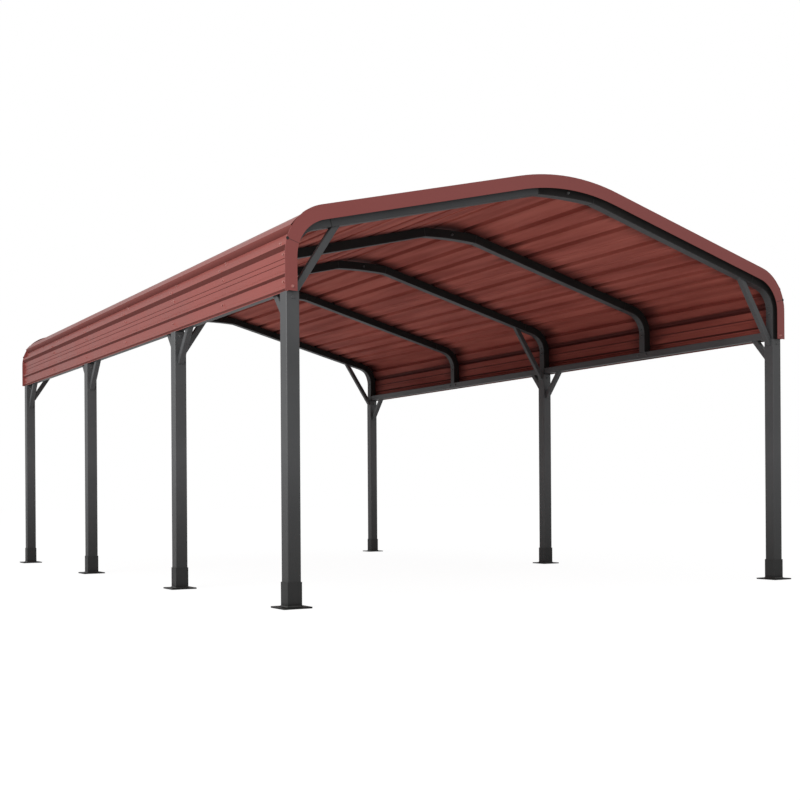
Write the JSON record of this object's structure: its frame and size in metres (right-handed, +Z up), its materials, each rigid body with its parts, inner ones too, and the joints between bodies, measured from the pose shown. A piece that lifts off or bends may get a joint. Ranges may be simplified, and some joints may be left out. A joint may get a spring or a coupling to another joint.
{
  "type": "carport",
  "caption": "Open-sided steel carport: square posts on base plates, bent tube arches, knee braces and a ribbed sheet roof turned down over both eaves.",
  "frame": {"origin": "on the ground, in the middle of the plan", "axes": "+X across the carport to its right side, +Y along it from the front gable to the rear, +Z up"},
  "size_m": [3.762, 5.562, 2.4435],
  "materials": {
    "frame_steel": "charcoal powder coat, satin",
    "roof_steel": "dull brick red baked paint on ribbed sheet"
  },
  "bodies": {
    "root": {"front_left_post": "frame_steel", "second_left_post": "frame_steel", "third_left_post": "frame_steel", "rear_left_post": "frame_steel", "front_right_post": "frame_steel", "middle_right_post": "frame_steel", "rear_right_post": "frame_steel", "left_feet": "frame_steel", "right_feet": "frame_steel", "arch_1_eave_bends": "frame_steel", "arch_1_rafters": "frame_steel", "arch_2_eave_bends": "frame_steel", "arch_2_rafters": "frame_steel", "arch_3_eave_bends": "frame_steel", "arch_3_rafters": "frame_steel", "arch_4_eave_bends": "frame_steel", "arch_4_rafters": "frame_steel", "arch_5_eave_bends": "frame_steel", "arch_5_rafters": "frame_steel", "ridge_bows": "frame_steel", "second_left_eave_rib": "frame_steel", "third_left_eave_rib": "frame_steel", "front_left_braces": "frame_steel", "second_left_braces": "frame_steel", "third_left_braces": "frame_steel", "rear_left_braces": "frame_steel", "front_right_braces": "frame_steel", "middle_right_braces": "frame_steel", "rear_right_braces": "frame_steel", "left_rail_front": "frame_steel", "left_rail_middle": "frame_steel", "left_rail_rear": "frame_steel", "right_rail_front": "frame_steel", "right_rail_rear": "frame_steel", "left_eave_sheet": "roof_steel", "left_slope_sheet": "roof_steel", "ridge_sheet": "roof_steel", "right_slope_sheet": "roof_steel", "right_eave_sheet": "roof_steel", "front_trim_legs": "roof_steel", "front_left_trim": "roof_steel", "front_right_trim": "roof_steel", "rear_trim_legs": "roof_steel", "rear_left_trim": "roof_steel", "rear_right_trim": "roof_steel"}
  },
  "joints": []
}
